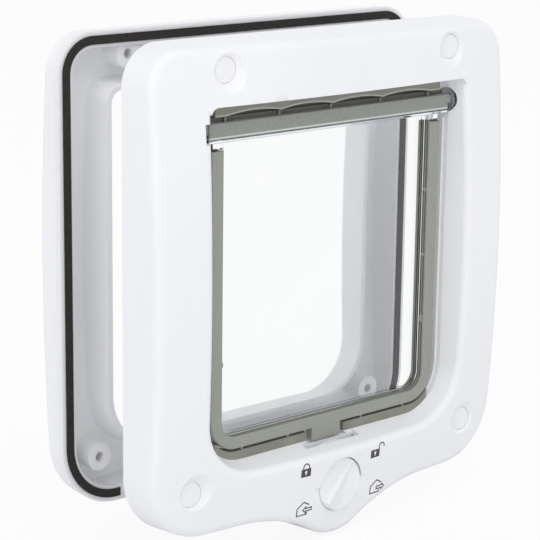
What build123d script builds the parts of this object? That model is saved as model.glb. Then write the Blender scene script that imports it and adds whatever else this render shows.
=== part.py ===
from build123d import *
import os
from math import asin, degrees, radians, sqrt, tan

# Four-way cat flap for a house door: two white frames, a clear swinging flap and a rotary lock.
# X runs across the door, Y through it from the indoor side, and Z is up. Millimetres.
# The origin is the middle of the front frame's rim, on the door's indoor face.

# Frames: both share one outline, and both faces are crowned across and along
FRAME_WIDTH = 225.0
FRAME_HEIGHT = 228.2
TOP_CORNER_R = 19.0
BOTTOM_CORNER_R = 31.5
CROWN_ACROSS_R = 830.0
CROWN_ALONG_R = 960.0
FRONT_DEPTH = 31.5
REAR_DEPTH = 25.7
DRAFT_DEG = 3.5
EDGE_R = 4.5
WALL = 2.6
DOOR_GAP = 46.0

# Bulge of the front frame's lower edge round the dial
BULGE_R = 27.2
BULGE_BLEND_R = 88.0

# Rails round the front frame's window, and the window's shape
SIDE_RAIL = 34.0
TOP_RAIL = 28.35
SILL_RAIL = 31.35
WINDOW_TOP_R = 4.0
WINDOW_BOTTOM_R = 24.5
WINDOW_DEEP_Y = -14.5
WINDOW_FLARE_DEG = 16.5
TOP_FLARE_SHARE = 0.17
WINDOW_EDGE_R = 3.5
JAMB_RIB_FRONT_Y = -12.0
JAMB_RIB_BACK_Y = -7.0
JAMB_RIB_HEIGHT = 1.1

# Rails round the rear frame's opening, and the opening's shape
REAR_SIDE_RAIL = 30.8
REAR_TOP_RAIL = 28.6
REAR_SILL_RAIL = 26.1
REAR_OPENING_TOP_R = 6.0
REAR_OPENING_BOTTOM_R = 26.0
REAR_FLARE_DEG = 8.0
REAR_STUB_SETBACK = 1.2

# Screw places, measured from the frames' edges, with their posts, caps and bosses
TOP_SCREW_SIDE = 41.2
TOP_SCREW_EDGE = 12.1
BOTTOM_SCREW_SIDE = 23.1
BOTTOM_SCREW_EDGE = 23.4
SCREW_HOLE_R = 2.4
SCREW_HEAD_R = 5.0
SCREW_SEAT_T = 3.5
POST_R = 8.8
CAP_R = 5.9
CAP_T = 1.8
CAP_SINK = 1.9
CAP_DISH_R = 8.7
CAP_PLUG_LENGTH = 4.0
REAR_BOSS_R = 6.7
REAR_BOSS_SETBACK = 2.0

# Foam gasket in the rear frame's rim
GASKET_WIDTH = 4.0
GASKET_HEIGHT = 3.2
GASKET_PROUD = 0.6
GASKET_LIP = 2.2
GASKET_INNER_LIP = 1.5
GASKET_END_SIDE = 33.5

# Soft seals: two strips on the sill, and a double lip under the window's top
SEAL_REACH = 4.3
SEAL_FRONT_Y = -14.0
SEAL_BACK_Y = -6.8
SEAL_END_GAP = 8.5
LIP_FRONT_Y = -15.0
LIP_T = 1.2
LIP_DROP = 5.55
LIP_END_GAP = 6.9
SCALLOP_RISE = 1.5
REAR_LIP_Y = -9.6
REAR_LIP_DROP = 6.6

# Flap
FLAP_GAP = 1.2
FLAP_CORNER_R = 16.0
FLAP_FRONT_Y = -14.5
STRIP_WIDTH = 7.0
STRIP_BOTTOM_WIDTH = 6.0
FRONT_STRIP_T = 4.2
PANE_T = 2.0
REAR_STRIP_T = 3.0
STRIP_TOP_DROP = 10.0
STRIP_EDGE_R = 0.8
STRIP_STOP_WIDTH = 5.5
PANE_INSET = 1.0
BEAD_GAP = 0.3
BEAD_WIDTH = 1.9
BEAD_HEIGHT = 0.8

# Grooves along the front strip's inner edge, with ties across them, and small nubs below it
STRIP_LIP = 1.1
GROOVE_WIDTH = 1.1
GROOVE_RIB = 0.5
GROOVE_DEPTH = 1.6
TIE_HEIGHT = 1.7
TIE_SPACING = 33.0
TIE_MIDDLE_Z = -2.2
CATCH_R = 2.1
CATCH_PROUD = 1.2
NUB_SIDE_GAP = 19.7
NUB_TAB_GAP = 14.9
NUB_R = 0.6
NUB_DROP = 0.9

# Hinge
HINGE_Y = -13.0
HINGE_DROP = 11.0
BARREL_R = 2.2
EAR_R = 5.7
EAR_T = 1.8
EAR_SEAT_DEPTH = 2.3
PIVOT_R = 2.4
PIVOT_LENGTH = 6.8
RUNNING_GAP = 0.08
SIDE_GAP = 0.35
EAR_GAP = 0.1
BEARING_BLOCK_T = 10.0
BEARING_BLOCK_HALF_HEIGHT = 9.0
BEARING_BACK_Y = -6.8
PIVOT_SLOT_DEPTH = 6.3
PIVOT_SLOT_HALF_HEIGHT = 4.6
RIB_HEIGHT = 1.5
RIB_SETBACK = 0.3
RIB_EDGE_R = 0.5

# Cover strip on the hinge, with a ridge behind and pins along its top
BAR_END_GAP = 2.25
BAR_T = 3.2
BAR_BELOW = 4.7
BAR_ABOVE = 3.0
RIDGE_SETBACK = 3.8
RIDGE_T = 1.2
RIDGE_HEIGHT = 1.95
PIN_COUNT = 5
PIN_END_GAP = 11.45
PIN_SETBACK = 3.0
PIN_R = 0.6
PIN_HEIGHT = 1.9

# Lock tab and magnets
TAB_WIDTH = 18.6
TAB_DROP = 6.15
MAGNET_LENGTH = 14.0
MAGNET_HEIGHT = 3.6
MAGNET_T = 2.4
BRIDGE_DROP = 1.0
BRIDGE_HEIGHT = 7.5
BRIDGE_T = 4.2

# Rotary lock: its cams carry high lobes over sectors given in degrees from the dial's pointer
DIAL_DROP = 21.6
DIAL_R = 13.4
DIAL_SINK = 0.2
DIAL_T = 3.2
DIAL_GAP = 0.3
DIAL_DISH_R = 18.4
DIAL_DISH_DEPTH = 0.9
DIAL_FLOOR_T = 2.2
DIAL_BOSS_R = 17.0
GRIP_HEIGHT = 3.2
GRIP_WIDTH = 11.0
GRIP_TIP_REACH = 11.5
GRIP_TIP_HEIGHT = 0.6
GRIP_TIP_WIDTH = 1.0
GRIP_OFFSET = 2.1
GRIP_RIM = 0.9
SCOOP_DEPTH = 2.0
POINTER_DEG = 45.0
JOURNAL_R = 6.0
SPINDLE_SIDE = 8.0
SPINDLE_END_SIDE = 6.0
CAM_HIGH_R = 24.3
CAM_LOW_R = 20.3
CAM_T = 2.2
FRONT_CAM_LOBES = ((-90.0, 0.0), (90.0, 180.0))
REAR_CAM_LOBES = ((-180.0, -90.0), (-90.0, 0.0))
FRONT_CAM_GAP = 2.5
REAR_CAM_GAP = 2.1
CAM_SLOT_HALF_WIDTH = 17.5
CAM_SCREW_HEAD_R = 5.0
CAM_SCREW_HEAD_T = 2.0
CAM_SCREW_R = 1.5
CAM_SCREW_LENGTH = 9.0

# Places worked out from the sizes above
FRONT_Y = -FRONT_DEPTH
RIM_Y = DOOR_GAP + GASKET_PROUD
REAR_Y = RIM_Y + REAR_DEPTH
GROOVE_FLOOR_Y = DOOR_GAP + GASKET_HEIGHT
WINDOW_WIDTH = FRAME_WIDTH - 2 * SIDE_RAIL
WINDOW_HALF = WINDOW_WIDTH / 2
WINDOW_TOP = FRAME_HEIGHT / 2 - TOP_RAIL
WINDOW_SILL = SILL_RAIL - FRAME_HEIGHT / 2
REAR_OPENING_WIDTH = FRAME_WIDTH - 2 * REAR_SIDE_RAIL
REAR_OPENING_TOP = FRAME_HEIGHT / 2 - REAR_TOP_RAIL
REAR_OPENING_SILL = REAR_SILL_RAIL - FRAME_HEIGHT / 2
HINGE_Z = WINDOW_TOP - HINGE_DROP
FLAP_INSET = SEAL_REACH + FLAP_GAP
OUTER_NUB = WINDOW_HALF - FLAP_INSET - NUB_SIDE_GAP
INNER_NUB = TAB_WIDTH / 2 + NUB_TAB_GAP
NUB_PLACES = (-OUTER_NUB, -INNER_NUB, INNER_NUB, OUTER_NUB)
FLAP_BOTTOM = WINDOW_SILL + FLAP_INSET
PANE_FRONT_Y = FLAP_FRONT_Y + FRONT_STRIP_T
PANE_BACK_Y = PANE_FRONT_Y + PANE_T
STRIP_TOP = HINGE_Z - STRIP_TOP_DROP
TAB_BOTTOM = FLAP_BOTTOM - TAB_DROP
BAR_HALF = WINDOW_HALF - BAR_END_GAP
BAR_FRONT_Y = HINGE_Y - BAR_T
BAR_TOP = HINGE_Z + BAR_ABOVE
RIB_TOP = HINGE_Z - BAR_BELOW
RIB_LOW = RIB_TOP - RIB_HEIGHT
PIN_SPACING = 2 * (BAR_HALF - PIN_END_GAP) / (PIN_COUNT - 1)
PIN_PLACES = [PIN_END_GAP - BAR_HALF + PIN_SPACING * step for step in range(PIN_COUNT)]
DIAL_Z = WINDOW_SILL - DIAL_DROP
FRONT_CAM_Y = FLAP_FRONT_Y - FRONT_CAM_GAP - CAM_T
REAR_CAM_Y = PANE_FRONT_Y + REAR_CAM_GAP
CAM_ROOM_R = CAM_HIGH_R + DIAL_GAP
SEAL_START = sqrt(CAM_ROOM_R**2 - DIAL_DROP**2) + SIDE_GAP
TOP_SCREW_X = FRAME_WIDTH / 2 - TOP_SCREW_SIDE
TOP_SCREW_Z = FRAME_HEIGHT / 2 - TOP_SCREW_EDGE
BOTTOM_SCREW_X = FRAME_WIDTH / 2 - BOTTOM_SCREW_SIDE
BOTTOM_SCREW_Z = BOTTOM_SCREW_EDGE - FRAME_HEIGHT / 2
SCREWS = {
    "top_left": (-TOP_SCREW_X, TOP_SCREW_Z),
    "top_right": (TOP_SCREW_X, TOP_SCREW_Z),
    "bottom_left": (-BOTTOM_SCREW_X, BOTTOM_SCREW_Z),
    "bottom_right": (BOTTOM_SCREW_X, BOTTOM_SCREW_Z),
}


def at(y):
    """Upright plane across the door at depth y, with X to the right and Z up."""
    return Plane.XZ.offset(-y)


def slab(sketch, start, end):
    """A sketch of the upright plane made solid from depth start to depth end."""
    return extrude(at(max(start, end)) * sketch, abs(end - start))


def rod(radius, start, end, x=0.0, z=0.0):
    """A round bar through the door's thickness."""
    return slab(Pos(x, z) * Circle(radius), start, end)


def cross_rod(radius, start, end):
    """A round bar along the hinge line, from one X to another."""
    return Pos((start + end) / 2, HINGE_Y, HINGE_Z) * Rot(0, 90, 0) * Cylinder(radius, abs(end - start))


def block(x, y, z):
    """A box from three pairs of limits."""
    place = Pos((x[0] + x[1]) / 2, (y[0] + y[1]) / 2, (z[0] + z[1]) / 2)
    return place * Box(x[1] - x[0], y[1] - y[0], z[1] - z[0])


def both_ways(half):
    """The limits of a piece that is centred in the window."""
    return (-half, half)


def panel(width, top, bottom, top_r, bottom_r):
    """An upright rectangle with its own radii at the top and the bottom corners."""
    shape = Pos(0, (top + bottom) / 2) * Rectangle(width, top - bottom)
    shape = fillet(shape.vertices().sort_by(Axis.Y)[:2], bottom_r)
    if top_r > 0:
        shape = fillet(shape.vertices().sort_by(Axis.Y)[-2:], top_r)
    return shape


def frame_outline(inset, bulge):
    """The frames' outer outline, drawn in by inset, with or without the bulge under the dial."""
    half = FRAME_HEIGHT / 2 - inset
    shape = panel(FRAME_WIDTH - 2 * inset, half, -half, TOP_CORNER_R - inset, BOTTOM_CORNER_R - inset)
    if not bulge:
        return shape
    shape += Pos(0, DIAL_Z) * Circle(BULGE_R - inset)
    joins = [corner for corner in shape.vertices() if abs(corner.X) < BULGE_R]
    return fillet(joins, BULGE_BLEND_R + inset)


def crown(apex, toward):
    """A barrel-shaped solid whose doubly curved face passes through depth apex, facing toward."""
    reach = FRAME_HEIGHT
    edge = apex - toward * (CROWN_ALONG_R - sqrt(CROWN_ALONG_R**2 - reach**2))
    back = apex - toward * FRAME_WIDTH
    arc = ThreePointArc((edge, -reach), (apex, 0), (edge, reach))
    rest = Polyline((edge, reach), (back, reach), (back, -reach), (edge, -reach))
    profile = Plane.YZ * make_face([arc, rest])
    axis = Axis((0, apex - toward * CROWN_ACROSS_R, 0), (0, 0, 1))
    half_turn = degrees(asin(FRAME_WIDTH / CROWN_ACROSS_R))
    return revolve(profile, axis, 2 * half_turn).rotate(axis, -half_turn)


def face_depth(apex, toward, x, z):
    """Depth of a crowned face over the point x, z."""
    ring = CROWN_ACROSS_R - CROWN_ALONG_R + sqrt(CROWN_ALONG_R**2 - z**2)
    return apex - toward * (CROWN_ACROSS_R - sqrt(ring**2 - x**2))


def tapered(sketch, start, end):
    """A sketch made solid from start to end, narrowing with the mould's draft."""
    toward = (0, 1, 0) if end > start else (0, -1, 0)
    return extrude(at(start) * sketch, abs(end - start), dir=toward, taper=DRAFT_DEG)


def flared(shape_at, start, bend, end, flare_deg):
    """A window's inside: straight from start to bend, then widening to end."""
    widening = abs(end - bend) * tan(radians(flare_deg))
    straight = slab(shape_at(0), start, bend)
    return straight + loft([at(bend) * shape_at(0), at(end) * shape_at(widening)], ruled=True)


def window(flare, wall=0.0):
    """The front window's outline, opened by flare, less at the top, and grown by a wall."""
    grow = flare + wall
    return panel(WINDOW_WIDTH + 2 * grow, WINDOW_TOP + TOP_FLARE_SHARE * flare + wall, WINDOW_SILL - grow,
                 WINDOW_TOP_R + wall, WINDOW_BOTTOM_R + grow)


def window_block():
    """The front window's inside together with the wall round it."""
    return flared(lambda flare: window(flare, WALL), 0, WINDOW_DEEP_Y, FRONT_Y, WINDOW_FLARE_DEG)


def rear_opening(grow):
    """The rear frame's opening, grown by so much on every side."""
    return panel(REAR_OPENING_WIDTH + 2 * grow, REAR_OPENING_TOP + grow, REAR_OPENING_SILL - grow,
                 REAR_OPENING_TOP_R + grow, REAR_OPENING_BOTTOM_R + grow)


def front_skin():
    """The front frame as a full block: drafted sides, crowned face, rounded edges, window cut through."""
    body = tapered(frame_outline(0, True), 0, FRONT_Y - EDGE_R) & crown(FRONT_Y, -1)
    face = body.faces().sort_by(Axis.Y)[0]
    body = fillet(face.outer_wire().edges(), EDGE_R)
    skin = body - flared(window, 0, WINDOW_DEEP_Y, FRONT_Y - EDGE_R, WINDOW_FLARE_DEG)
    face = skin.faces().sort_by(Axis.Y)[0]
    rounded = fillet(face.inner_wires()[0].edges(), WINDOW_EDGE_R)

    # The rounding runs out in the window's upper corners, and the top between them keeps a crisp edge
    low = WINDOW_TOP - WINDOW_TOP_R
    low_half = WINDOW_HALF + (WINDOW_DEEP_Y - FRONT_Y) * tan(radians(WINDOW_FLARE_DEG)) - WINDOW_TOP_R
    rise = WINDOW_TOP_R + 2 * WINDOW_EDGE_R
    high_half = low_half + rise
    crisp = Polyline((-low_half, low), (low_half, low), (high_half, low + rise), (-high_half, low + rise),
                     close=True)
    return rounded + (skin & slab(make_face(crisp), FRONT_Y, WINDOW_DEEP_Y))


def front_frame():
    frame = front_skin()
    dial_face = face_depth(FRONT_Y, -1, 0, DIAL_Z)
    dial_floor = dial_face + DIAL_SINK + DIAL_T + DIAL_GAP
    bearing_end = WINDOW_HALF + BEARING_BLOCK_T
    bearing_heights = (HINGE_Z - BEARING_BLOCK_HALF_HEIGHT, HINGE_Z + BEARING_BLOCK_HALF_HEIGHT)

    # Hollow behind the face, with the window's wall, the posts and the lock's seats left standing
    hollow = tapered(frame_outline(WALL, True), 0, FRONT_Y) & crown(FRONT_Y + WALL, -1)
    hollow -= window_block()
    for x, z in SCREWS.values():
        hollow -= rod(POST_R, 0, FRONT_Y, x, z)
    hollow -= rod(DIAL_BOSS_R, dial_floor + DIAL_FLOOR_T, FRONT_Y, 0, DIAL_Z)
    hollow -= block(both_ways(bearing_end), (FRONT_Y, BEARING_BACK_Y), bearing_heights)
    hollow -= bridge()
    frame -= hollow

    # Slot in the sill for the tab and the cams, with the magnet bridge across it
    slot_front = FRONT_CAM_Y - 2 * DIAL_GAP
    slot = block(both_ways(CAM_SLOT_HALF_WIDTH), (slot_front, SEAL_FRONT_Y), (DIAL_Z, WINDOW_SILL + WALL))
    cam_room = rod(CAM_ROOM_R, slot_front, 0, 0, DIAL_Z)
    frame -= (slot & window_block()) + cam_room - bridge()
    frame -= sill_magnet()

    # Dial seat: shallow dish, round recess and bearing
    on_base = (Align.CENTER, Align.CENTER, Align.MIN)
    dish = Cone(DIAL_R + DIAL_GAP, DIAL_DISH_R, DIAL_DISH_DEPTH, align=on_base)
    frame -= Pos(0, dial_face + DIAL_DISH_DEPTH, DIAL_Z) * Rot(90, 0, 0) * dish
    frame -= rod(DIAL_R + DIAL_GAP, FRONT_Y, dial_floor, 0, DIAL_Z)
    frame -= rod(JOURNAL_R + RUNNING_GAP, dial_floor, dial_floor + DIAL_FLOOR_T, 0, DIAL_Z)

    # Screw posts: cap seat in a dish, head bore and clearance hole
    for x, z in SCREWS.values():
        seat = cap_seat(x, z)
        dish = Cone(CAP_R, 2 * CAP_DISH_R - CAP_R, 2 * CAP_SINK, align=on_base)
        frame -= Pos(x, seat, z) * Rot(90, 0, 0) * dish
        frame -= rod(CAP_R + RUNNING_GAP, FRONT_Y, seat + CAP_T, x, z)
        frame -= rod(SCREW_HEAD_R, seat, -SCREW_SEAT_T, x, z)
        frame -= rod(SCREW_HOLE_R, -SCREW_SEAT_T, 0, x, z)

    # Bearings for the flap's pivots, the left one open to the front, and a draught rib from each to the seal
    seat_end = WINDOW_HALF + EAR_SEAT_DEPTH
    frame -= cross_rod(EAR_R + SIDE_GAP, -seat_end, seat_end)
    frame -= cross_rod(PIVOT_R + RUNNING_GAP, -bearing_end, bearing_end)
    frame -= block((-WINDOW_HALF - PIVOT_SLOT_DEPTH, -WINDOW_HALF), (FRONT_Y, HINGE_Y),
                   (HINGE_Z - PIVOT_SLOT_HALF_HEIGHT, HINGE_Z + PIVOT_SLOT_HALF_HEIGHT))
    ribs = slab(window(0) - window(-JAMB_RIB_HEIGHT), JAMB_RIB_FRONT_Y, JAMB_RIB_BACK_Y)
    rib_heights = (WINDOW_SILL, bearing_heights[0])
    for end in (-WINDOW_HALF, WINDOW_HALF - SEAL_END_GAP):
        frame += ribs & block((end, end + SEAL_END_GAP), (JAMB_RIB_FRONT_Y, JAMB_RIB_BACK_Y), rib_heights)
    return frame


def bridge():
    """The bar across the slot in the sill that carries the lower magnet."""
    middle = FLAP_FRONT_Y + FRONT_STRIP_T / 2
    top = TAB_BOTTOM - BRIDGE_DROP
    return block(both_ways(CAM_SLOT_HALF_WIDTH + 2 * WALL), (middle - BRIDGE_T / 2, middle + BRIDGE_T / 2),
                 (top - BRIDGE_HEIGHT, top))


def cap_seat(x, z):
    """Depth of a cap's front face."""
    return face_depth(FRONT_Y, -1, x, z) + CAP_SINK


def screw_cap(x, z):
    """A plug over a screw hole: a round head with a hollow stem."""
    seat = cap_seat(x, z)
    stem_start = seat + CAP_T
    stem_end = stem_start + CAP_PLUG_LENGTH
    head = rod(CAP_R, seat, stem_start, x, z)
    head = fillet(head.edges().sort_by(Axis.Y)[0], CAP_T / 4)
    stem_r = SCREW_HEAD_R - RUNNING_GAP
    stem = rod(stem_r, stem_start, stem_end, x, z)
    return head + stem - rod(stem_r - CAP_T / 2, stem_start, stem_end, x, z)


def rear_frame():
    body = tapered(frame_outline(0, False), RIM_Y, REAR_Y + EDGE_R) & crown(REAR_Y, 1)
    face = body.faces().sort_by(Axis.Y)[-1]
    body = fillet(face.outer_wire().edges(), EDGE_R)
    stub_start = RIM_Y + REAR_STUB_SETBACK
    body -= flared(rear_opening, RIM_Y, stub_start, REAR_Y + EDGE_R, REAR_FLARE_DEG)
    face = body.faces().sort_by(Axis.Y)[-1]
    frame = fillet(face.inner_wires()[0].edges(), WINDOW_EDGE_R)

    # Hollow open to the door, leaving the opening's wall and the screw bosses
    rim = GASKET_LIP + GASKET_WIDTH + GASKET_INNER_LIP
    hollow = tapered(frame_outline(rim, False), RIM_Y, REAR_Y) & crown(REAR_Y - WALL, 1)
    stub = flared(lambda grow: rear_opening(grow + WALL), RIM_Y, stub_start, REAR_Y, REAR_FLARE_DEG)
    hollow -= stub - slab(rear_opening(WALL), RIM_Y, stub_start)
    for x, z in SCREWS.values():
        hollow -= rod(REAR_BOSS_R, RIM_Y + REAR_BOSS_SETBACK, REAR_Y, x, z)
    frame -= hollow
    for x, z in SCREWS.values():
        frame -= rod(SCREW_HOLE_R, RIM_Y, face_depth(REAR_Y, 1, x, z) - WALL, x, z)
    return frame - gasket_ring(RIM_Y)


def gasket_ring(start):
    """The foam strip's ring from its groove's floor to a given depth, cut away along the bottom edge."""
    ring = frame_outline(GASKET_LIP, False) - frame_outline(GASKET_LIP + GASKET_WIDTH, False)
    gap = Pos(0, -FRAME_HEIGHT / 2) * Rectangle(FRAME_WIDTH - 2 * GASKET_END_SIDE, 2 * BOTTOM_CORNER_R)
    return slab(ring - gap, start, GROOVE_FLOOR_Y)


def seal(side):
    """A soft strip along half of the sill, from the lock's slot into the window's corner."""
    ring = window(0) - flap_outline(-FLAP_GAP, HINGE_Z)
    end = WINDOW_HALF - SEAL_END_GAP
    middle = Pos(side * (SEAL_START + end) / 2, WINDOW_SILL + WINDOW_BOTTOM_R / 2)
    keep = middle * Rectangle(end - SEAL_START, WINDOW_BOTTOM_R)
    return slab(ring & keep, SEAL_FRONT_Y, SEAL_BACK_Y)


def top_lip():
    """The soft lip under the window's top: a blade scalloped between the pins, a web and a rear blade."""
    half = WINDOW_HALF - LIP_END_GAP
    low = WINDOW_TOP - LIP_DROP
    blade = Pos(0, WINDOW_TOP - LIP_DROP / 2) * Rectangle(2 * half, LIP_DROP)
    for left, right in zip(PIN_PLACES, PIN_PLACES[1:]):
        arc = ThreePointArc((left, low), ((left + right) / 2, low + SCALLOP_RISE), (right, low))
        blade -= make_face([arc, Line((right, low), (left, low))])
    back = REAR_LIP_Y + LIP_T
    lip = slab(blade, LIP_FRONT_Y, LIP_FRONT_Y + LIP_T)
    lip += block(both_ways(half), (LIP_FRONT_Y, back), (WINDOW_TOP - LIP_T, WINDOW_TOP))
    return lip + block(both_ways(half), (REAR_LIP_Y, back), (WINDOW_TOP - REAR_LIP_DROP, WINDOW_TOP))


def flap_outline(inset, top, bottom_inset=None):
    """The flap's outline up to a given height, drawn in at the sides and at the bottom."""
    low = inset if bottom_inset is None else bottom_inset
    width = WINDOW_WIDTH - 2 * FLAP_INSET - 2 * inset
    return panel(width, top, FLAP_BOTTOM + low, 0, FLAP_CORNER_R - inset)


def strip_line(beyond, top):
    """The outline that lies beyond the strips' inner edge, towards the flap's middle."""
    return flap_outline(STRIP_WIDTH + beyond, top, STRIP_BOTTOM_WIDTH + beyond)


def flap_pane():
    """The clear pane with its bead, stiffening rib, hinge barrel, ears and pivots."""
    pane = slab(flap_outline(PANE_INSET, HINGE_Z), PANE_FRONT_Y, PANE_BACK_Y)
    bead = strip_line(BEAD_GAP, RIB_LOW) - strip_line(BEAD_GAP + BEAD_WIDTH, RIB_LOW)
    pane += slab(bead, PANE_FRONT_Y - BEAD_HEIGHT, PANE_FRONT_Y)
    rib = block(both_ways(BAR_HALF), (BAR_FRONT_Y + RIB_SETBACK, PANE_BACK_Y), (RIB_LOW, RIB_TOP))
    rib = fillet(rib.edges().filter_by(Axis.X).sort_by(Axis.Y)[:2], RIB_EDGE_R)
    pane += rib
    pane += block(both_ways(BAR_HALF), (HINGE_Y, PANE_BACK_Y), (RIB_TOP, HINGE_Z))

    ear_start = WINDOW_HALF + EAR_GAP
    ear_end = ear_start + EAR_T
    pivot_end = ear_end + PIVOT_LENGTH
    stop_end = WINDOW_HALF - FLAP_INSET - PANE_INSET
    pane += cross_rod(BARREL_R, -ear_start, ear_start)
    for side in (-1, 1):
        pane += cross_rod(EAR_R, side * ear_start, side * ear_end)
        pane += cross_rod(PIVOT_R, side * ear_end, side * pivot_end)
        reach = sorted((side * (stop_end - STRIP_STOP_WIDTH), side * stop_end))
        pane += block(reach, (FLAP_FRONT_Y + PANE_INSET, PANE_FRONT_Y), (STRIP_TOP, RIB_LOW))
    return pane


def flap_strip(start, end):
    """A U-shaped edge strip of the flap."""
    return slab(flap_outline(0, STRIP_TOP) - strip_line(0, HINGE_Z), start, end)


def flap_front_strip():
    """The front edge strip, grooved along its inner edge, with the lock tab below."""
    strip = flap_strip(FLAP_FRONT_Y, PANE_FRONT_Y)
    face = strip.faces().sort_by(Axis.Y)[0]
    strip = fillet(face.edges(), STRIP_EDGE_R)

    # Two grooves with a rib between them, broken by ties
    band = strip_line(-GROOVE_DEPTH, STRIP_TOP) - strip_line(0, STRIP_TOP)
    ties = [TIE_MIDDLE_Z + TIE_SPACING * step for step in (-1, 0, 1)]
    for z in ties:
        band -= Pos(0, z) * Rectangle(WINDOW_WIDTH, TIE_HEIGHT)
    groove_start = FLAP_FRONT_Y + STRIP_LIP
    second_start = groove_start + GROOVE_WIDTH + GROOVE_RIB
    for start in (groove_start, second_start):
        strip -= slab(band, start, start + GROOVE_WIDTH)

    # A half-round catch at the lowest tie of each side
    edge_x = WINDOW_HALF - FLAP_INSET - STRIP_WIDTH
    for side in (-1, 1):
        strip += rod(CATCH_R, groove_start, second_start, side * (edge_x - CATCH_PROUD + CATCH_R), ties[0])

    # Lock tab with its magnet, and nubs under the bottom edge
    strip += block(both_ways(TAB_WIDTH / 2), (FLAP_FRONT_Y, PANE_FRONT_Y),
                   (TAB_BOTTOM, FLAP_BOTTOM + STRIP_BOTTOM_WIDTH / 2))
    for x in NUB_PLACES:
        strip += Pos(x, FLAP_FRONT_Y + STRIP_LIP, FLAP_BOTTOM) * Cylinder(NUB_R, 2 * NUB_DROP)
    return strip - flap_magnet()


def flap_rear_strip():
    strip = flap_strip(PANE_BACK_Y, PANE_BACK_Y + REAR_STRIP_T)
    face = strip.faces().sort_by(Axis.Y)[-1]
    return fillet(face.edges(), STRIP_EDGE_R)


def flap_magnet():
    """Bar magnet let into the back of the lock tab."""
    middle = (TAB_BOTTOM + FLAP_BOTTOM) / 2
    return block(both_ways(MAGNET_LENGTH / 2), (PANE_FRONT_Y - MAGNET_T, PANE_FRONT_Y),
                 (middle - MAGNET_HEIGHT / 2, middle + MAGNET_HEIGHT / 2))


def sill_magnet():
    """Bar magnet let into the top of the bridge under the tab."""
    middle = FLAP_FRONT_Y + FRONT_STRIP_T / 2
    top = TAB_BOTTOM - BRIDGE_DROP
    return block(both_ways(MAGNET_LENGTH / 2), (middle - MAGNET_T / 2, middle + MAGNET_T / 2),
                 (top - MAGNET_HEIGHT, top))


def hinge_bar():
    """The textured cover strip clipped over the hinge barrel, with a ridge and pins along its top."""
    ridge_front = BAR_FRONT_Y + RIDGE_SETBACK
    ridge_back = ridge_front + RIDGE_T
    ridge_top = BAR_TOP + RIDGE_HEIGHT
    profile = Polyline((BAR_FRONT_Y, RIB_TOP), (BAR_FRONT_Y, BAR_TOP), (ridge_front, BAR_TOP),
                       (ridge_front, ridge_top), (ridge_back, ridge_top), (PANE_FRONT_Y, BAR_TOP),
                       (PANE_FRONT_Y, HINGE_Z), (HINGE_Y, HINGE_Z), (HINGE_Y, RIB_TOP), close=True)
    bar = extrude(Plane.YZ * make_face(profile), BAR_HALF, both=True)
    bar = fillet(bar.edges().filter_by(Axis.X).sort_by(Axis.Y)[:2], STRIP_EDGE_R)
    for x in PIN_PLACES:
        bar += Pos(x, BAR_FRONT_Y + PIN_SETBACK, BAR_TOP) * Cylinder(PIN_R, 2 * PIN_HEIGHT)
    return bar - cross_rod(BARREL_R, -BAR_HALF, BAR_HALF)


def grip_section(x, front, height, width):
    """Cross-section of the dial's grip at a place along its pointer."""
    foot = front + DIAL_T / 2
    low_side = GRIP_OFFSET - width
    corners = Polyline((foot, GRIP_OFFSET), (front - height, GRIP_OFFSET), (front, low_side),
                       (foot, low_side), close=True)
    return Plane.YZ.offset(x) * make_face(corners)


def lock_dial():
    """The knob: round plate, wedge grip with a scoop beside it, journal and square spindle."""
    front = face_depth(FRONT_Y, -1, 0, DIAL_Z) + DIAL_SINK
    back = front + DIAL_T
    knob = rod(DIAL_R, front, back, 0, DIAL_Z)
    knob = fillet(knob.edges().sort_by(Axis.Y)[0], DIAL_T / 4)

    # Grip: a ramp falling to the pointer's tip, with a steep wall along the pointer and a slope beside it
    heel = grip_section(-DIAL_R, front, GRIP_HEIGHT, GRIP_WIDTH)
    tip = grip_section(GRIP_TIP_REACH, front, GRIP_TIP_HEIGHT, GRIP_TIP_WIDTH)
    turned = Pos(0, 0, DIAL_Z) * Rot(0, -POINTER_DEG, 0)
    knob += turned * loft([heel, tip]) & rod(DIAL_R - GRIP_RIM, front - GRIP_HEIGHT, back, 0, DIAL_Z)

    # Scoop: a hollow of spherical shape that ends at the steep wall
    scoop_half = DIAL_R - GRIP_RIM - GRIP_OFFSET
    scoop_r = (scoop_half**2 + SCOOP_DEPTH**2) / (2 * SCOOP_DEPTH)
    scoop = Pos(0, front + SCOOP_DEPTH - scoop_r, GRIP_OFFSET) * Sphere(scoop_r)
    knob -= turned * (scoop & block(both_ways(DIAL_R), (front - GRIP_HEIGHT, back), (GRIP_OFFSET, DIAL_R)))

    # Spindle: round in the frame's bearing, then square for each cam
    end = REAR_CAM_Y + CAM_T
    centre = Pos(0, DIAL_Z)
    knob += rod(JOURNAL_R, back, FRONT_CAM_Y, 0, DIAL_Z)
    knob += slab(centre * Rectangle(SPINDLE_SIDE, SPINDLE_SIDE), FRONT_CAM_Y, REAR_CAM_Y)
    knob += slab(centre * Rectangle(SPINDLE_END_SIDE, SPINDLE_END_SIDE), REAR_CAM_Y, end)
    return knob - rod(CAM_SCREW_R, end - CAM_SCREW_LENGTH, end, 0, DIAL_Z)


def sector(first, last):
    """A wedge from the dial's centre between two directions, in degrees from the pointer."""
    reach = Vector(2 * CAM_HIGH_R, 0, 0)
    turns = (first, (first + last) / 2, last)
    rays = [reach.rotate(Axis.Z, POINTER_DEG + turn) for turn in turns]
    return make_face(Polyline((0, 0), *rays, close=True))


def cam(start, hole, lobes):
    """A lock cam: a low round disc with high lobes."""
    shape = Circle(CAM_LOW_R)
    for first, last in lobes:
        shape += sector(first, last) & Circle(CAM_HIGH_R)
    shape -= Rectangle(hole, hole)
    return slab(Pos(0, DIAL_Z) * shape, start, start + CAM_T)


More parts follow.
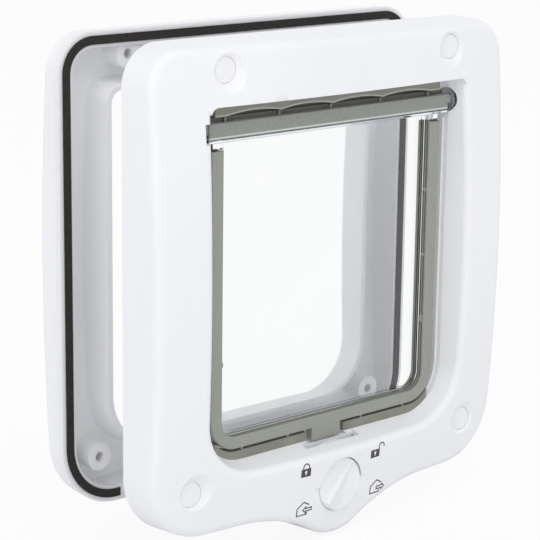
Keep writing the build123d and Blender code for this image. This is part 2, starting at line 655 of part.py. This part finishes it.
def cam_screw():
    start = REAR_CAM_Y + CAM_T
    head = rod(CAM_SCREW_HEAD_R, start, start + CAM_SCREW_HEAD_T, 0, DIAL_Z)
    head = fillet(head.edges().sort_by(Axis.Y)[-1], CAM_SCREW_HEAD_T / 3)
    return head + rod(CAM_SCREW_R, start - CAM_SCREW_LENGTH, start, 0, DIAL_Z)


# The front cam bars the way in, when closed or out-only; the rear cam the way out, when closed or in-only
pieces = {
    "front_frame": front_frame(),
    "rear_frame": rear_frame(),
    "door_gasket": gasket_ring(DOOR_GAP),
    "top_lip": top_lip(),
    "seal_left": seal(-1),
    "seal_right": seal(1),
    "flap_pane": flap_pane(),
    "flap_front_strip": flap_front_strip(),
    "flap_rear_strip": flap_rear_strip(),
    "hinge_bar": hinge_bar(),
    "flap_magnet": flap_magnet(),
    "sill_magnet": sill_magnet(),
    "lock_dial": lock_dial(),
    "front_cam": cam(FRONT_CAM_Y, SPINDLE_SIDE, FRONT_CAM_LOBES),
    "rear_cam": cam(REAR_CAM_Y, SPINDLE_END_SIDE, REAR_CAM_LOBES),
    "cam_screw": cam_screw(),
}
for corner, (x, z) in SCREWS.items():
    pieces["cap_" + corner] = screw_cap(x, z)

os.makedirs("parts", exist_ok=True)
for name, solid in pieces.items():
    export_step(solid, "parts/" + name + ".step")
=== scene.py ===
"""Looks of a four-way cat flap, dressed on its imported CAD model."""
import math

import bmesh
import bpy
from mathutils import Matrix, Vector


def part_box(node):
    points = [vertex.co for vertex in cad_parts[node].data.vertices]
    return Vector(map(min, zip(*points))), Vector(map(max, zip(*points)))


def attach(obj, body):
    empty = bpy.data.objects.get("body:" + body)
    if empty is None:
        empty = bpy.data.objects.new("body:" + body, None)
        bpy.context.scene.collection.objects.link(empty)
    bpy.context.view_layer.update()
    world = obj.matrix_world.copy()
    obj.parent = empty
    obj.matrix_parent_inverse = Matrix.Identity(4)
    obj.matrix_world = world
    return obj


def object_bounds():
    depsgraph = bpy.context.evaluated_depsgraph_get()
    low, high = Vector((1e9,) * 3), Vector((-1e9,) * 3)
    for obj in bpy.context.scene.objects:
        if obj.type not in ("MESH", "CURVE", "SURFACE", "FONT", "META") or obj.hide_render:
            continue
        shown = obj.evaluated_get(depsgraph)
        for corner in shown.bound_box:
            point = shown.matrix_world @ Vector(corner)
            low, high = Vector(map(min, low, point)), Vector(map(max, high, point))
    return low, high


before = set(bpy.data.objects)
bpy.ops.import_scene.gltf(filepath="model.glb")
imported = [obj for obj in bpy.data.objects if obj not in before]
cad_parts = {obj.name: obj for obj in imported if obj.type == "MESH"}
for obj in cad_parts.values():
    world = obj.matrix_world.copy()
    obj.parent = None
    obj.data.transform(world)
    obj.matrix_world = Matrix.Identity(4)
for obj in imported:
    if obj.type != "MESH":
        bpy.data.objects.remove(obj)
cad_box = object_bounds()
bpy.context.scene.view_settings.view_transform = "Standard"

# Front frame.
# Shell of white ABS, injection moulded, with a satin and very faintly pebbled skin whose
# colour drifts a little. Long screws through its four posts hold it on the door.
DRIFT_DETAIL = 3.0
DRIFT_SPREAD = (0.3, 0.7)
PEBBLE_DETAIL = 2.0
PEBBLE_GLOSS_SHARE = 0.5
WHITE_ABS = {"low": (0.885, 0.89, 0.905), "high": (0.915, 0.915, 0.925), "roughness": (0.32, 0.46),
             "drift": 14.0, "pebble": 2200.0, "depth": 0.00002}
ABS_IOR = 1.5


def material_nodes(name):
    """A new material with its node tree and its Principled shader."""
    material = bpy.data.materials.new(name)
    material.use_nodes = True
    tree = material.node_tree
    tree.nodes.clear()
    output = tree.nodes.new("ShaderNodeOutputMaterial")
    shader = tree.nodes.new("ShaderNodeBsdfPrincipled")
    tree.links.new(shader.outputs["BSDF"], output.inputs["Surface"])
    return material, tree, shader


def shader_of(material):
    """The material's Principled shader."""
    return next(node for node in material.node_tree.nodes if node.type == "BSDF_PRINCIPLED")


def math_node(tree, operation, *values):
    """The result of a math node on sockets or numbers."""
    node = tree.nodes.new("ShaderNodeMath")
    node.operation = operation
    for socket, value in zip(node.inputs, values):
        if isinstance(value, float):
            socket.default_value = value
        else:
            tree.links.new(value, socket)
    return node.outputs["Value"]


def fade_node(tree, value, span):
    """A value taken from 0 to 1 over a span."""
    fade = tree.nodes.new("ShaderNodeMapRange")
    fade.inputs["From Min"].default_value, fade.inputs["From Max"].default_value = span
    tree.links.new(value, fade.inputs["Value"])
    return fade.outputs["Result"]


def noise_node(tree, place, scale, detail):
    """A noise over a place, at a scale per metre."""
    noise = tree.nodes.new("ShaderNodeTexNoise")
    noise.inputs["Detail"].default_value = detail
    tree.links.new(place, noise.inputs["Vector"])
    tree.links.new(scale, noise.inputs["Scale"])
    return noise.outputs["Fac"]


def moulded_skin_group():
    """Drift of colour and gloss over a moulded surface, with a fine pebble for its bump."""
    group = bpy.data.node_groups.new("moulded_skin", "ShaderNodeTree")
    colour, number = "NodeSocketColor", "NodeSocketFloat"
    for name, kind in (("Low Colour", colour), ("High Colour", colour), ("Low Roughness", number),
                       ("High Roughness", number), ("Drift Scale", number), ("Pebble Scale", number)):
        group.interface.new_socket(name, in_out="INPUT", socket_type=kind)
    for name, kind in (("Colour", colour), ("Roughness", number), ("Pebble", number)):
        group.interface.new_socket(name, in_out="OUTPUT", socket_type=kind)
    given = group.nodes.new("NodeGroupInput").outputs
    out = group.nodes.new("NodeGroupOutput").inputs
    place = group.nodes.new("ShaderNodeTexCoord").outputs["Object"]
    drift = fade_node(group, noise_node(group, place, given["Drift Scale"], DRIFT_DETAIL), DRIFT_SPREAD)
    tone = group.nodes.new("ShaderNodeMix")
    tone.data_type = "RGBA"
    group.links.new(drift, tone.inputs["Factor"])
    group.links.new(given["Low Colour"], tone.inputs["A"])
    group.links.new(given["High Colour"], tone.inputs["B"])
    group.links.new(tone.outputs["Result"], out["Colour"])
    pebble = noise_node(group, place, given["Pebble Scale"], PEBBLE_DETAIL)
    group.links.new(pebble, out["Pebble"])
    drift_gloss = math_node(group, "MULTIPLY", drift, 1.0 - PEBBLE_GLOSS_SHARE)
    gloss = group.nodes.new("ShaderNodeMapRange")
    group.links.new(math_node(group, "MULTIPLY_ADD", pebble, PEBBLE_GLOSS_SHARE, drift_gloss),
                    gloss.inputs["Value"])
    group.links.new(given["Low Roughness"], gloss.inputs["To Min"])
    group.links.new(given["High Roughness"], gloss.inputs["To Max"])
    group.links.new(gloss.outputs["Result"], out["Roughness"])
    return group


def lay_skin(tree, shader, low, high, roughness, drift, pebble):
    """Lays the moulded skin on a shader with its own values, and gives the skin's pebble."""
    skin = tree.nodes.new("ShaderNodeGroup")
    skin.node_tree = moulded_skin
    skin.inputs["Low Colour"].default_value = (*low, 1.0)
    skin.inputs["High Colour"].default_value = (*high, 1.0)
    skin.inputs["Low Roughness"].default_value, skin.inputs["High Roughness"].default_value = roughness
    skin.inputs["Drift Scale"].default_value = drift
    skin.inputs["Pebble Scale"].default_value = pebble
    tree.links.new(skin.outputs["Colour"], shader.inputs["Base Color"])
    tree.links.new(skin.outputs["Roughness"], shader.inputs["Roughness"])
    return skin.outputs["Pebble"]


def moulded(name, depth, **skin):
    """A moulded material with its own skin, whose pebble has a depth in metres."""
    material, tree, shader = material_nodes(name)
    bump = tree.nodes.new("ShaderNodeBump")
    bump.inputs["Distance"].default_value = depth
    tree.links.new(lay_skin(tree, shader, **skin), bump.inputs["Height"])
    tree.links.new(bump.outputs["Normal"], shader.inputs["Normal"])
    return material


def dress(material, *names):
    """Gives CAD nodes their material."""
    for name in names:
        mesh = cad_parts[name].data
        mesh.materials.clear()
        mesh.materials.append(material)


moulded_skin = moulded_skin_group()
white_abs = moulded("white_abs", **WHITE_ABS)
shader_of(white_abs).inputs["IOR"].default_value = ABS_IOR
dress(white_abs, "front_frame")

# Screw caps.
# Four plugs of the same white ABS, moulded like the frame and pushed into its screw holes
# over the heads of the screws.
dress(white_abs, "cap_top_left", "cap_top_right", "cap_bottom_left", "cap_bottom_right")

# Top lip.
# Double lip of soft olive-grey rubber, extruded and pressed in under the window's top. Its
# front blade is cut in scallops between the hinge bar's pins, and a painted highlight runs along its eased
# lower edge.
RUBBER = {"roughness": (0.55, 0.75), "drift": 60.0, "pebble": 1800.0, "depth": 0.00006}
RUBBER_SPECULAR = 0.35
LIP_EASE = 0.0006
LIP_DROP = 0.00555
LIP_BLADE = 0.0013
PIN_END_GAP = 0.01145
SCALLOPS = 4
SCALLOP_RISE = 0.0015
# Painted highlight along the lower edge of the front blade: its fade in metres above that edge, and its
# tint.
EDGE_HIGHLIGHT_FADE = (0.0009, 0.0006)
EDGE_HIGHLIGHT_TINT = (0.44, 0.44, 0.41)


def place_axes(tree):
    """The three axes of the place on the part, in metres."""
    place = tree.nodes.new("ShaderNodeTexCoord")
    axes = tree.nodes.new("ShaderNodeSeparateXYZ")
    tree.links.new(place.outputs["Object"], axes.inputs["Vector"])
    return axes.outputs


def tint_where(material, share, tint):
    """Mixes a tint into a material's colour by a share."""
    tree = material.node_tree
    base = shader_of(material).inputs["Base Color"]
    mix = tree.nodes.new("ShaderNodeMix")
    mix.data_type = "RGBA"
    tree.links.new(share, mix.inputs["Factor"])
    tree.links.new(base.links[0].from_socket, mix.inputs["A"])
    mix.inputs["B"].default_value = (*tint, 1.0)
    tree.links.new(mix.outputs["Result"], base)


def ease(name, width):
    """Rounds a CAD node's sharp edges a little, so that they catch the light."""
    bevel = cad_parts[name].modifiers.new("eased_edges", "BEVEL")
    bevel.width = width
    bevel.segments = 2
    bevel.limit_method = "ANGLE"
    bevel.harden_normals = True


def painted_edge_highlight(tree):
    """The share of the painted highlight along the lower edge of the lip's front blade."""
    axes = place_axes(tree)
    scallops_end = bar_high.x - PIN_END_GAP
    half_scallop = scallops_end / SCALLOPS
    along = math_node(tree, "DIVIDE", math_node(tree, "PINGPONG", axes["X"], half_scallop), half_scallop)
    bow = math_node(tree, "MULTIPLY", along, math_node(tree, "SUBTRACT", 2.0, along))
    scalloped = math_node(tree, "LESS_THAN", math_node(tree, "ABSOLUTE", axes["X"]), scallops_end)
    edge = math_node(tree, "MULTIPLY_ADD", math_node(tree, "MULTIPLY", bow, scalloped), SCALLOP_RISE,
                     lip_high.z - LIP_DROP)
    highlight_band = fade_node(tree, math_node(tree, "SUBTRACT", axes["Z"], edge), EDGE_HIGHLIGHT_FADE)
    front = math_node(tree, "LESS_THAN", axes["Y"], lip_low.y + LIP_BLADE)
    return math_node(tree, "MULTIPLY", highlight_band, front)


lip_low, lip_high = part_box("top_lip")
bar_low, bar_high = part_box("hinge_bar")
lip_rubber = moulded("lip_rubber", low=(0.24, 0.24, 0.2), high=(0.29, 0.29, 0.25), **RUBBER)
shader_of(lip_rubber).inputs["Specular IOR Level"].default_value = RUBBER_SPECULAR
# Painted highlight along the front blade's lower edge.
tint_where(lip_rubber, painted_edge_highlight(lip_rubber.node_tree), EDGE_HIGHLIGHT_TINT)
dress(lip_rubber, "top_lip")
ease("top_lip", LIP_EASE)

# Window seals.
# Two strips of the same soft rubber, a little darker and dusty, pressed in along the
# window's sill and round its lower corners.
soft_rubber = moulded("soft_rubber", low=(0.22, 0.22, 0.18), high=(0.29, 0.29, 0.245), **RUBBER)
shader_of(soft_rubber).inputs["Specular IOR Level"].default_value = RUBBER_SPECULAR
dress(soft_rubber, "seal_left", "seal_right")

# Pane of the flap.
# One clear acrylic moulding with its rib, hinge barrel, ears and pivots, which turn in the
# front frame's bearings. It is polished, with faint wiping marks. A painted reflection of the
# grey hinge bar greys it from just below the bar upwards.
ACRYLIC_IOR = 1.49
# Painted reflection of the grey hinge bar: its fade in metres about the bar's lower edge, and its tint.
BAR_REFLECTION_FADE = (-0.00165, -0.00135)
BAR_REFLECTION_TINT = (0.79, 0.81, 0.84)
PANE_EASE = 0.00025


def fade_tint(material, axis, start, span, tint):
    """Fades a material's colour to a tint along one axis, over a span in metres from a start."""
    tree = material.node_tree
    places = [start + offset for offset in span]
    tint_where(material, fade_node(tree, place_axes(tree)[axis], places), tint)


clear_acrylic, acrylic_tree, acrylic_shader = material_nodes("clear_acrylic")
lay_skin(acrylic_tree, acrylic_shader, low=(0.97, 0.985, 0.98), high=(0.985, 0.99, 0.988),
         roughness=(0.0, 0.03), drift=25.0, pebble=300.0)
acrylic_shader.inputs["Transmission Weight"].default_value = 1.0
acrylic_shader.inputs["IOR"].default_value = ACRYLIC_IOR
# Painted reflection of the grey hinge bar, from just below the bar upwards.
fade_tint(clear_acrylic, "Z", bar_low.z, BAR_REFLECTION_FADE, BAR_REFLECTION_TINT)
dress(clear_acrylic, "flap_pane")
ease("flap_pane", PANE_EASE)

# Edge strips of the flap.
# Two U-shaped strips of grey-green plastic with an eroded mould texture, fixed on the
# pane's front and back. The front one carries the lock tab.
grey_strip = moulded("grey_strip", low=(0.3, 0.31, 0.27), high=(0.335, 0.345, 0.305),
                     roughness=(0.42, 0.6), drift=1500.0, pebble=2600.0, depth=0.00006)
dress(grey_strip, "flap_front_strip", "flap_rear_strip")

# Hinge bar.
# Cover strip of grey plastic with a coarser texture, clipped over the pane's hinge barrel.
# A painted highlight with a painted shadow line under it runs along its lower edge, and
# painted shade darkens its ridge at the back.
# Painted highlight and painted shadow line along the lower edge: their fades in metres above it, and their
# tints.
BAR_HIGHLIGHT_FADE = (0.00145, 0.00125)
BAR_HIGHLIGHT_TINT = (0.66, 0.67, 0.63)
BAR_SHADOW_LINE_FADE = (0.00065, 0.00045)
BAR_SHADOW_LINE_TINT = (0.2, 0.205, 0.185)
# Painted shade on the ridge: its fade in metres behind the bar's front, and its tint.
RIDGE_SHADE_FADE = (0.0035, 0.0038)
RIDGE_SHADE_TINT = (0.15, 0.143, 0.132)
hinge_grey = moulded("hinge_grey", low=(0.26, 0.27, 0.245), high=(0.33, 0.34, 0.31),
                     roughness=(0.5, 0.68), drift=1100.0, pebble=2600.0, depth=0.00012)
# Painted highlight and painted shadow line along the bar's lower edge.
fade_tint(hinge_grey, "Z", bar_low.z, BAR_HIGHLIGHT_FADE, BAR_HIGHLIGHT_TINT)
fade_tint(hinge_grey, "Z", bar_low.z, BAR_SHADOW_LINE_FADE, BAR_SHADOW_LINE_TINT)
# Painted shade on the ridge at the bar's back.
fade_tint(hinge_grey, "Y", bar_low.y, RIDGE_SHADE_FADE, RIDGE_SHADE_TINT)
dress(hinge_grey, "hinge_bar")

# Magnets.
# Two plated bar magnets that bring the flap to rest, one let into the lock tab and the
# other into the bridge under it.
plated_metal = moulded("plated_metal", low=(0.5, 0.5, 0.5), high=(0.62, 0.61, 0.6),
                       roughness=(0.22, 0.4), drift=200.0, pebble=900.0, depth=0.00001)
shader_of(plated_metal).inputs["Metallic"].default_value = 1.0
dress(plated_metal, "flap_magnet", "sill_magnet")

# Lock.
# Dial and two cams of white ABS, moulded like the frame. The cams sit on the dial's spindle
# behind the sill and are held there by a plated steel screw.
dress(white_abs, "lock_dial", "front_cam", "rear_cam")
dress(plated_metal, "cam_screw")

# Lock marks.
# Dark grey marks printed on the front frame round the dial: a closed and an open padlock,
# and a house with an arrow going in or out. Sizes and places are in millimetres.
MM = 0.001
LINE_WIDTH = 0.62
INK_THICKNESS = 0.05
MITRE_LIMIT = 0.5
ARC_STEPS = 14
CLOSED_PLACE = (-23.9, 12.35)
OPEN_PLACE = (22.0, 12.15)
IN_ONLY_PLACE = (-24.0, -7.95)
OUT_ONLY_PLACE = (24.6, -7.65)
BODY_HALF = 3.0
BODY_LOW = -3.2
BODY_TOP = 0.9
KEYHOLE_R = 0.75
KEY_SLIT_HALF = 0.32
KEY_SLIT_LOW = -2.3
SHACKLE_R = 1.8
SHACKLE_Z = 1.6
OPEN_SHACKLE_R = 1.7
OPEN_SHACKLE_X = 4.2
OPEN_SHACKLE_Z = 2.0
HOUSE_GROUND = -2.8
HOUSE_LEFT = -3.5
HOUSE_RIGHT = 2.7
HOUSE_WALL_END = -1.7
HOUSE_LEFT_EAVE = 1.0
HOUSE_RIDGE = (0.6, 3.8)
HOUSE_RIGHT_EAVE = (4.0, 1.9)
ARROW_TIP = -2.7
ARROW_BARBS = -1.0
ARROW_TAIL = 2.6
BARB_HALF = 1.55
SHAFT_HALF = 0.7
ARROW_IN_X = 3.0
ARROW_OUT_X = 3.4
ARROW_Z = -0.4


def face_y(x, z):
    """Depth of the front frame's face over a point, in metres."""
    start = (x, 2 * cad_box[0][1], z)
    hit, place, _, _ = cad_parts["front_frame"].ray_cast(start, (0, 1, 0))
    assert hit
    return place.y


def arc(x, z, radius, first, last):
    """Points along an arc, with angles in degrees from the right."""
    turns = [math.radians(first + (last - first) * step / ARC_STEPS) for step in range(ARC_STEPS + 1)]
    return [(x + radius * math.cos(turn), z + radius * math.sin(turn)) for turn in turns]


def band(drawing, line, closed):
    """Draws a line as a flat band with mitred corners."""
    count = len(line)
    rings = []
    for k, point in enumerate(line):
        before = line[k - 1] if k or closed else None
        after = line[(k + 1) % count] if k + 1 < count or closed else None
        runs = [(a, b) for a, b in ((before, point), (point, after)) if a and b]
        ways = [(Vector(b) - Vector(a)).normalized() for a, b in runs]
        along = sum(ways, Vector((0, 0))).normalized()
        across = Vector((-along.y, along.x))
        side = across * (LINE_WIDTH / 2 / max(MITRE_LIMIT, along.dot(ways[0])))
        left, right = Vector(point) + side, Vector(point) - side
        corners = [(left, INK_THICKNESS), (right, INK_THICKNESS), (right, -INK_THICKNESS),
                   (left, -INK_THICKNESS)]
        rings.append([drawing.verts.new((corner.x, corner.y, height)) for corner, height in corners])
    for k in range(count if closed else count - 1):
        near, far = rings[k], rings[(k + 1) % count]
        for e in range(4):
            drawing.faces.new((near[e], near[(e + 1) % 4], far[(e + 1) % 4], far[e]))
    if not closed:
        drawing.faces.new(rings[0])
        drawing.faces.new(rings[-1])


def plate_mesh(name, loops):
    """A thin plate from an outline and the holes in it."""
    curve = bpy.data.curves.new(name, "CURVE")
    curve.dimensions = "2D"
    curve.fill_mode = "BOTH"
    curve.extrude = INK_THICKNESS
    for loop in loops:
        spline = curve.splines.new("POLY")
        spline.points.add(len(loop) - 1)
        for point, (u, v) in zip(spline.points, loop):
            point.co = (u, v, 0.0, 1.0)
        spline.use_cyclic_u = True
    drawn = bpy.data.objects.new(name, curve)
    mesh = bpy.data.meshes.new_from_object(drawn)
    bpy.data.objects.remove(drawn)
    return mesh


def print_mark(name, centre, lines, outlines, plates):
    """Prints one mark on the frame's face, round a centre measured from the dial's axis."""
    drawing = bmesh.new()
    for line in lines:
        band(drawing, line, False)
    for line in outlines:
        band(drawing, line, True)
    if plates:
        drawing.from_mesh(plate_mesh(name, plates))
    for vert in drawing.verts:
        x = (centre[0] + vert.co.x) * MM
        z = dial_z + (centre[1] + vert.co.y) * MM
        vert.co = (x, face_y(x, z) - vert.co.z * MM, z)
    bmesh.ops.recalc_face_normals(drawing, faces=drawing.faces)
    mesh = bpy.data.meshes.new(name)
    drawing.to_mesh(mesh)
    drawing.free()
    mesh.materials.append(mark_ink)
    mark = bpy.data.objects.new(name, mesh)
    bpy.context.scene.collection.objects.link(mark)
    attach(mark, "frame")


dial_low, dial_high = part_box("lock_dial")
dial_z = (dial_low.z + dial_high.z) / 2
mark_ink = moulded("mark_ink", low=(0.045, 0.045, 0.052), high=(0.075, 0.075, 0.085),
                   roughness=(0.5, 0.65), drift=300.0, pebble=2500.0, depth=0.00001)
keyhole = arc(0, -KEYHOLE_R, KEYHOLE_R, -60, 240)
keyhole += [(-KEY_SLIT_HALF, KEY_SLIT_LOW), (KEY_SLIT_HALF, KEY_SLIT_LOW)]
lock_body = [(-BODY_HALF, BODY_LOW), (BODY_HALF, BODY_LOW), (BODY_HALF, BODY_TOP), (-BODY_HALF, BODY_TOP)]
shackle = [(-SHACKLE_R, BODY_TOP), *arc(0, SHACKLE_Z, SHACKLE_R, 180, 0), (SHACKLE_R, BODY_TOP)]
open_shackle = [(OPEN_SHACKLE_X - OPEN_SHACKLE_R, BODY_TOP),
                *arc(OPEN_SHACKLE_X, OPEN_SHACKLE_Z, OPEN_SHACKLE_R, 180, -20)]
house = [(HOUSE_RIGHT, HOUSE_WALL_END), (HOUSE_RIGHT, HOUSE_GROUND), (HOUSE_LEFT, HOUSE_GROUND),
         (HOUSE_LEFT, HOUSE_LEFT_EAVE), HOUSE_RIDGE, HOUSE_RIGHT_EAVE]
arrow = [(ARROW_TIP, 0), (ARROW_BARBS, BARB_HALF), (ARROW_BARBS, SHAFT_HALF), (ARROW_TAIL, SHAFT_HALF),
         (ARROW_TAIL, -SHAFT_HALF), (ARROW_BARBS, -SHAFT_HALF), (ARROW_BARBS, -BARB_HALF)]
arrow_in = [(ARROW_IN_X + u, ARROW_Z + v) for u, v in arrow]
arrow_out = [(ARROW_OUT_X - u, ARROW_Z + v) for u, v in arrow]
print_mark("mark_closed", CLOSED_PLACE, [shackle], [], [lock_body, keyhole])
print_mark("mark_open", OPEN_PLACE, [open_shackle], [], [lock_body, keyhole])
print_mark("mark_in_only", IN_ONLY_PLACE, [house], [arrow_in], [])
print_mark("mark_out_only", OUT_ONLY_PLACE, [house], [arrow_out], [])

# Rear frame.
# Shell of the same white ABS for the outdoor face of the door, with four bosses for the
# screws. A little light soaks through its thin walls.
SOAK_WEIGHT = 0.5
SOAK_RADIUS = (1.0, 1.05, 1.15)
SOAK_DEPTH = 0.005
rear_abs = moulded("rear_abs", **WHITE_ABS)
rear_shader = shader_of(rear_abs)
rear_shader.inputs["IOR"].default_value = ABS_IOR
rear_shader.inputs["Subsurface Weight"].default_value = SOAK_WEIGHT
rear_shader.inputs["Subsurface Radius"].default_value = SOAK_RADIUS
rear_shader.inputs["Subsurface Scale"].default_value = SOAK_DEPTH
dress(rear_abs, "rear_frame")

# Foam gasket.
# Black closed-cell foam, cut from strip and pressed into the groove of the rear frame's
# rim. It is dull, with open cells on its cut skin.
FOAM_SPECULAR = 0.25
black_foam = moulded("black_foam", low=(0.022, 0.02, 0.019), high=(0.05, 0.045, 0.042),
                     roughness=(0.75, 0.95), drift=1200.0, pebble=1500.0, depth=0.0003)
shader_of(black_foam).inputs["Specular IOR Level"].default_value = FOAM_SPECULAR
dress(black_foam, "door_gasket")

# Floor.
# Plain pale sheet just under the set. To the camera, and through the pane, most of it is
# the white of the backdrop, and the rest keeps the set's shadow.
FLOOR_HALF = 6.0
FLOOR_GAP = 0.0005
FLOOR_COLOUR = (0.86, 0.86, 0.87, 1.0)
FLOOR_ROUGHNESS = 0.9
FLOOR_VEIL = 0.9


def seen_rays(tree):
    """Light Path's outputs, and 1 where the camera looks, straight or through the pane."""
    rays = tree.nodes.new("ShaderNodeLightPath").outputs
    return rays, math_node(tree, "MAXIMUM", rays["Is Camera Ray"], rays["Is Transmission Ray"])


def shader_mix(tree, share, first, second):
    """The mix of two shaders by a share."""
    mix = tree.nodes.new("ShaderNodeMixShader")
    tree.links.new(share, mix.inputs["Fac"])
    tree.links.new(first, mix.inputs[1])
    tree.links.new(second, mix.inputs[2])
    return mix.outputs["Shader"]


floor_z = cad_box[0][2] - FLOOR_GAP
floor_mesh = bpy.data.meshes.new("floor")
floor_mesh.from_pydata([(-FLOOR_HALF, -FLOOR_HALF, floor_z), (FLOOR_HALF, -FLOOR_HALF, floor_z),
                        (FLOOR_HALF, FLOOR_HALF, floor_z), (-FLOOR_HALF, FLOOR_HALF, floor_z)],
                       [], [(0, 1, 2, 3)])
floor = bpy.data.objects.new("floor", floor_mesh)
bpy.context.scene.collection.objects.link(floor)
pale_floor, floor_tree, floor_shader = material_nodes("pale_floor")
floor_shader.inputs["Base Color"].default_value = FLOOR_COLOUR
floor_shader.inputs["Roughness"].default_value = FLOOR_ROUGHNESS
glow = floor_tree.nodes.new("ShaderNodeEmission")
glow.inputs["Color"].default_value = (1.0, 1.0, 1.0, 1.0)
_, floor_seen = seen_rays(floor_tree)
veil = math_node(floor_tree, "MULTIPLY", floor_seen, FLOOR_VEIL)
floor_surface = floor_shader.outputs["BSDF"].links[0].to_socket
floor_tree.links.new(shader_mix(floor_tree, veil, floor_shader.outputs["BSDF"], glow.outputs["Emission"]),
                     floor_surface)
floor_mesh.materials.append(pale_floor)

# Studio surround.
# Even, faintly cool white light from all round. The camera, the pane and glossy surfaces
# see a white backdrop there, which dims towards the ceiling.
SURROUND_COLOUR = (0.96, 0.97, 1.0, 1.0)
SURROUND_STRENGTH = 0.84
CEILING_RISE = (0.3, 0.75)
CEILING_DIM = 0.25
surround = bpy.data.worlds.new("surround")
bpy.context.scene.world = surround
surround.use_nodes = True
surround_tree = surround.node_tree
surround_tree.nodes.clear()
surround_output = surround_tree.nodes.new("ShaderNodeOutputWorld")
studio_light = surround_tree.nodes.new("ShaderNodeBackground")
studio_light.inputs["Color"].default_value = SURROUND_COLOUR
studio_light.inputs["Strength"].default_value = SURROUND_STRENGTH
backdrop = surround_tree.nodes.new("ShaderNodeBackground")
way = surround_tree.nodes.new("ShaderNodeTexCoord")
way_axes = surround_tree.nodes.new("ShaderNodeSeparateXYZ")
surround_tree.links.new(way.outputs["Generated"], way_axes.inputs["Vector"])
ceiling = surround_tree.nodes.new("ShaderNodeMapRange")
ceiling.interpolation_type = "SMOOTHSTEP"
ceiling.inputs["From Min"].default_value, ceiling.inputs["From Max"].default_value = CEILING_RISE
ceiling.inputs["To Min"].default_value = 1.0
ceiling.inputs["To Max"].default_value = CEILING_DIM
surround_tree.links.new(way_axes.outputs["Z"], ceiling.inputs["Value"])
surround_tree.links.new(ceiling.outputs["Result"], backdrop.inputs["Color"])
surround_rays, surround_seen = seen_rays(surround_tree)
mirrored = math_node(surround_tree, "MAXIMUM", surround_seen, surround_rays["Is Glossy Ray"])
surround_tree.links.new(shader_mix(surround_tree, mirrored, studio_light.outputs["Background"],
                                   backdrop.outputs["Background"]), surround_output.inputs["Surface"])


# Lamps.
# Two square soft boxes: a warmer key lamp high in front, and a weaker lamp on the left that
# lights the frames' sides.
def lamp(name, place, target, size, power, colour):
    """A square soft box aimed at a point."""
    light = bpy.data.lights.new(name, "AREA")
    light.size = size
    light.energy = power
    light.color = colour
    box = bpy.data.objects.new(name, light)
    box.location = place
    box.rotation_euler = (Vector(target) - Vector(place)).to_track_quat("-Z", "Y").to_euler()
    bpy.context.scene.collection.objects.link(box)


lamp("key_lamp", place=(-0.2, -1.2, 2.2), target=(0, 0, 0), size=1.4, power=11.5, colour=(1.0, 1.0, 0.96))
lamp("left_lamp", place=(-1.8, -0.9, 0.6), target=(0, 0.03, 0), size=1.6, power=6.5, colour=(1.0, 1.0, 1.0))

# Camera.
# Long lens at the photograph's viewing angle, from the left and a little above, with a
# slight roll.
AZIMUTH = math.radians(41.770)
ELEVATION = math.radians(13.564)
ROLL = math.radians(0.767)
CAMERA_PLACE = (-0.62656, -0.67365, 0.21895)
SENSOR_MM = 36.0
LENS_MM = 131.03
CLIP_START = 0.05
back = Vector((-math.sin(AZIMUTH) * math.cos(ELEVATION), -math.cos(AZIMUTH) * math.cos(ELEVATION),
               math.sin(ELEVATION)))
level = (-back).cross(Vector((0, 0, 1))).normalized()
upright = level.cross(-back)
right = level * math.cos(ROLL) + upright * math.sin(ROLL)
up = upright * math.cos(ROLL) - level * math.sin(ROLL)
lens = bpy.data.cameras.new("camera")
lens.sensor_width = SENSOR_MM
lens.lens = LENS_MM
lens.clip_start = CLIP_START
camera = bpy.data.objects.new("camera", lens)
turn = Matrix((right, up, back)).transposed().to_4x4()
camera.matrix_world = Matrix.Translation(CAMERA_PLACE) @ turn
bpy.context.scene.collection.objects.link(camera)
bpy.context.scene.camera = camera
